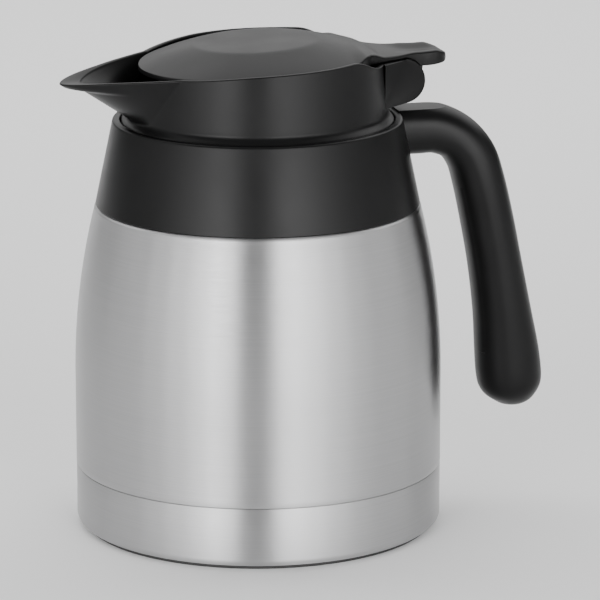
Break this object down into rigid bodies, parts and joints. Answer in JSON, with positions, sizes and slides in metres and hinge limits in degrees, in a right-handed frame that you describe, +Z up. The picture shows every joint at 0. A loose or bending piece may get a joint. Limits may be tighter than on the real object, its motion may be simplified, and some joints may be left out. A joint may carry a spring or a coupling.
{
  "type": "thermal carafe with flip lid",
  "caption": "Double-walled vacuum carafe with a screw-in pouring lid, thumb-lever flip dome, beak spout and open-ended side handle.",
  "frame": {"origin": "on the body's axis, at the surface that the foot ring stands on", "axes": "+Z up along the body's axis, +X towards the handle, -X towards the spout, +Y square to both"},
  "size_m": [0.1831, 0.135, 0.1816],
  "materials": {
    "brushed_steel": "stainless sheet with a fine brushed grain running round the body",
    "flask_steel": "electropolished stainless flask",
    "fastener_steel": "plain stainless wire and screws",
    "black_plastic": "satin black moulded polypropylene with a very fine texture",
    "inner_plastic": "dark grey moulded polypropylene",
    "foot_rubber": "black non-slip rubber",
    "silicone": "translucent grey silicone"
  },
  "bodies": {
    "carafe": {"outer_shell": "brushed_steel", "base_cup": "brushed_steel", "inner_flask": "flask_steel", "vacuum_plug": "fastener_steel", "getter": "fastener_steel", "foot_ring": "foot_rubber", "collar": "black_plastic", "mouth_gasket": "silicone", "neck_ring": "inner_plastic", "handle": "black_plastic", "handle_inlay": "black_plastic", "handle_screws": "fastener_steel"},
    "seal": {"stopper_seal": "silicone"},
    "lid": {"lid_body": "black_plastic", "stopper": "inner_plastic", "valve_guide": "inner_plastic", "valve_spring": "fastener_steel", "hinge_pin": "fastener_steel", "lid_spring": "fastener_steel"},
    "valve": {"valve_stem": "inner_plastic", "valve_gasket": "silicone", "stem_cap": "inner_plastic"},
    "flip": {"flip_lid": "black_plastic", "lid_liner": "inner_plastic", "presser_pad": "silicone"}
  },
  "joints": [
    {"name": "lid_rise", "type": "slide", "parent": "carafe", "child": "seal", "axis": [0, 0, 1], "range_m": [0, 0.0061]},
    {"name": "lid_turn", "type": "hinge", "parent": "seal", "child": "lid", "pos_m": [0, 0, 0.15], "axis": [0, 0, 1], "range_deg": [0, 270]},
    {"name": "lid_flip", "type": "hinge", "parent": "lid", "child": "flip", "pos_m": [0.052, 0, 0.165], "axis": [0, 1, 0], "range_deg": [0, 35], "stiffness_Nm_per_rad": 0.05, "springref_deg": -28.65},
    {"name": "valve_lift", "type": "slide", "parent": "lid", "child": "valve", "axis": [0, 0, 1], "range_m": [0, 0.0071], "deforming": ["valve_spring"]}
  ],
  "couplings": [
    {"joint": "lid_rise", "follows": "lid_turn", "m_per_rad": 0.0012732},
    {"joint": "valve_lift", "follows": "lid_flip", "m_per_rad": 0.01146}
  ]
}
